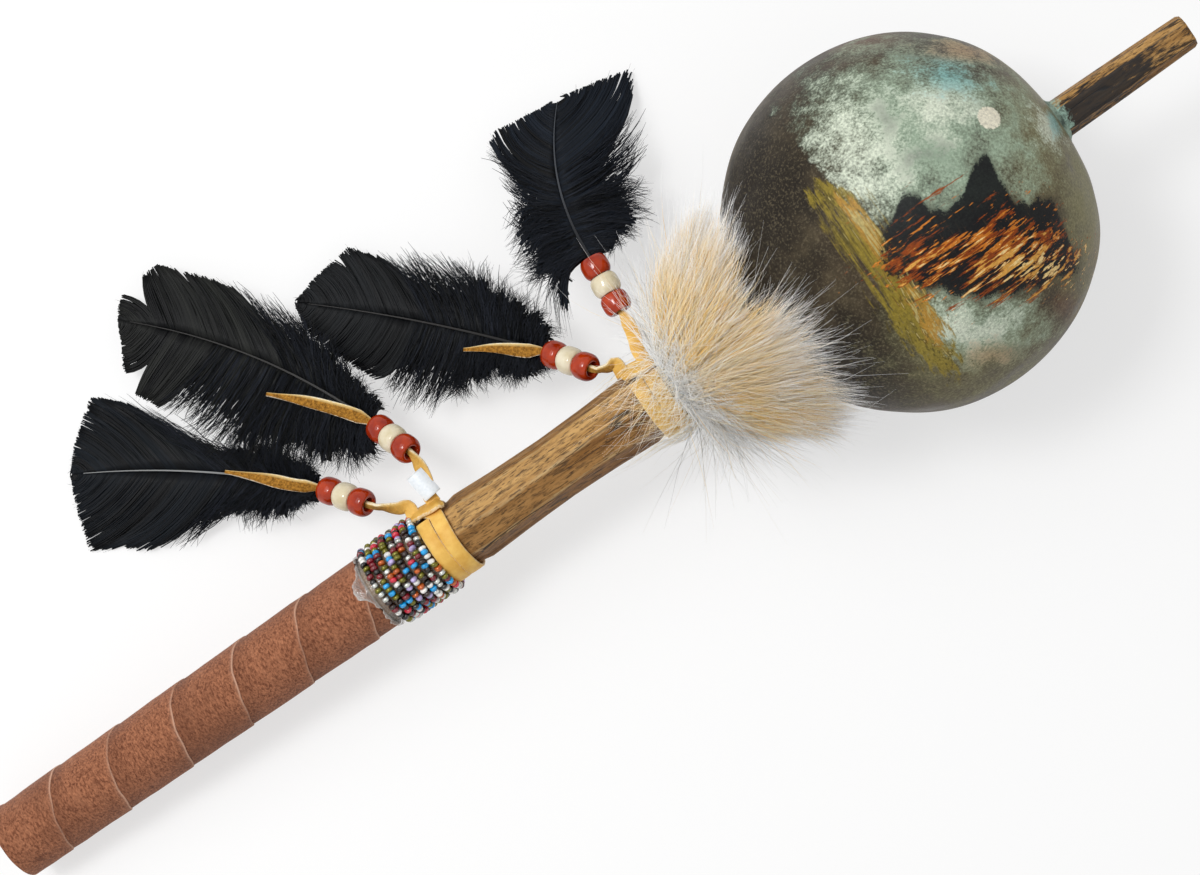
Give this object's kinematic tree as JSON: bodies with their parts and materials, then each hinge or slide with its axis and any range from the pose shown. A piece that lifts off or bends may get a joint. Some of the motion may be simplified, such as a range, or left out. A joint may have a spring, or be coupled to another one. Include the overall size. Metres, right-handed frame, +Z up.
{
  "type": "gourd rattle",
  "caption": "Hand rattle: a dried gourd filled with seeds on a carved stick, with a fur collar, a suede-wrapped grip, a band of seed beads and beaded feather dangles on leather laces.",
  "frame": {"origin": "middle of the rattle's length and width, without its dangles, at the height of the table it lies on", "axes": "+X along the stick towards its tip, +Y towards the side on which the dangles lie, +Z up"},
  "size_m": [0.4316, 0.1781, 0.1122],
  "materials": {
    "stick_wood": "satin",
    "gourd_paint": "satin",
    "tip_filler": "satin",
    "neck_filler": "matte",
    "dry_seed": "satin",
    "fur": "matte",
    "suede": "matte",
    "clear_glue": "gloss",
    "seed_bead_glass": "gloss",
    "lace_leather": "matte",
    "pony_red": "gloss",
    "pony_cream": "gloss",
    "black_feather": "satin",
    "tag_paper": "matte"
  },
  "bodies": {
    "rattle": {"stick": "stick_wood", "gourd_shell": "gourd_paint", "tip_seal": "tip_filler", "neck_seal": "neck_filler", "fur_collar": "fur", "grip_wrap": "suede", "glue_bed": "clear_glue", "bead_strand": "seed_bead_glass", "grip_lace": "lace_leather", "grip_knot": "lace_leather", "fur_lace": "lace_leather", "fur_knot": "lace_leather"},
    "dangle_a": {"lace_a": "lace_leather", "bead_a1": "pony_red", "bead_a2": "pony_cream", "bead_a3": "pony_red", "feather_a": "black_feather"},
    "dangle_b": {"lace_b": "lace_leather", "bead_b1": "pony_red", "bead_b2": "pony_cream", "bead_b3": "pony_red", "feather_b": "black_feather"},
    "dangle_c": {"lace_c": "lace_leather", "bead_c1": "pony_red", "bead_c2": "pony_cream", "bead_c3": "pony_red", "feather_c": "black_feather", "blank_tag": "tag_paper"},
    "dangle_d": {"lace_d": "lace_leather", "bead_d1": "pony_red", "bead_d2": "pony_cream", "bead_d3": "pony_red", "feather_d": "black_feather"},
    "loose_seed_01": {"seed_01": "dry_seed"},
    "loose_seed_02": {"seed_02": "dry_seed"},
    "loose_seed_03": {"seed_03": "dry_seed"},
    "loose_seed_04": {"seed_04": "dry_seed"},
    "loose_seed_05": {"seed_05": "dry_seed"},
    "loose_seed_06": {"seed_06": "dry_seed"},
    "loose_seed_07": {"seed_07": "dry_seed"},
    "loose_seed_08": {"seed_08": "dry_seed"},
    "loose_seed_09": {"seed_09": "dry_seed"},
    "loose_seed_10": {"seed_10": "dry_seed"},
    "loose_seed_11": {"seed_11": "dry_seed"}
  },
  "joints": [
    {"name": "dangle_a_swing", "type": "hinge", "parent": "rattle", "child": "dangle_a", "pos_m": [0.031, 0.0149, 0.0496], "axis": [0, 0, 1], "range_deg": [-15, 16]},
    {"name": "dangle_b_swing", "type": "hinge", "parent": "rattle", "child": "dangle_b", "pos_m": [0.0234, 0.0155, 0.0464], "axis": [0, 0, 1], "range_deg": [-12, 12]},
    {"name": "dangle_c_swing", "type": "hinge", "parent": "rattle", "child": "dangle_c", "pos_m": [-0.0454, 0.0155, 0.0374], "axis": [0, 0, 1], "range_deg": [-20, 4]},
    {"name": "dangle_d_swing", "type": "hinge", "parent": "rattle", "child": "dangle_d", "pos_m": [-0.0528, 0.0158, 0.0352], "axis": [0, 0, 1], "range_deg": [-3, 24]},
    {"name": "seed_01_roll", "type": "hinge", "parent": "rattle", "child": "loose_seed_01", "pos_m": [0.11872, 0, 0.056], "axis": [0.9914, 0, 0.1311], "continuous": true},
    {"name": "seed_02_roll", "type": "hinge", "parent": "rattle", "child": "loose_seed_02", "pos_m": [0.11872, 0, 0.056], "axis": [0.9914, 0, 0.1311], "continuous": true},
    {"name": "seed_03_roll", "type": "hinge", "parent": "rattle", "child": "loose_seed_03", "pos_m": [0.11872, 0, 0.056], "axis": [0.9914, 0, 0.1311], "continuous": true},
    {"name": "seed_04_roll", "type": "hinge", "parent": "rattle", "child": "loose_seed_04", "pos_m": [0.11872, 0, 0.056], "axis": [0.9914, 0, 0.1311], "continuous": true},
    {"name": "seed_05_roll", "type": "hinge", "parent": "rattle", "child": "loose_seed_05", "pos_m": [0.11872, 0, 0.056], "axis": [0.9914, 0, 0.1311], "continuous": true},
    {"name": "seed_06_roll", "type": "hinge", "parent": "rattle", "child": "loose_seed_06", "pos_m": [0.11872, 0, 0.056], "axis": [0.9914, 0, 0.1311], "continuous": true},
    {"name": "seed_07_roll", "type": "hinge", "parent": "rattle", "child": "loose_seed_07", "pos_m": [0.11872, 0, 0.056], "axis": [0.9914, 0, 0.1311], "continuous": true},
    {"name": "seed_08_roll", "type": "hinge", "parent": "rattle", "child": "loose_seed_08", "pos_m": [0.11872, 0, 0.056], "axis": [0.9914, 0, 0.1311], "continuous": true},
    {"name": "seed_09_roll", "type": "hinge", "parent": "rattle", "child": "loose_seed_09", "pos_m": [0.11872, 0, 0.056], "axis": [0.9914, 0, 0.1311], "continuous": true},
    {"name": "seed_10_roll", "type": "hinge", "parent": "rattle", "child": "loose_seed_10", "pos_m": [0.11872, 0, 0.056], "axis": [0.9914, 0, 0.1311], "continuous": true},
    {"name": "seed_11_roll", "type": "hinge", "parent": "rattle", "child": "loose_seed_11", "pos_m": [0.11872, 0, 0.056], "axis": [0.9914, 0, 0.1311], "continuous": true}
  ]
}
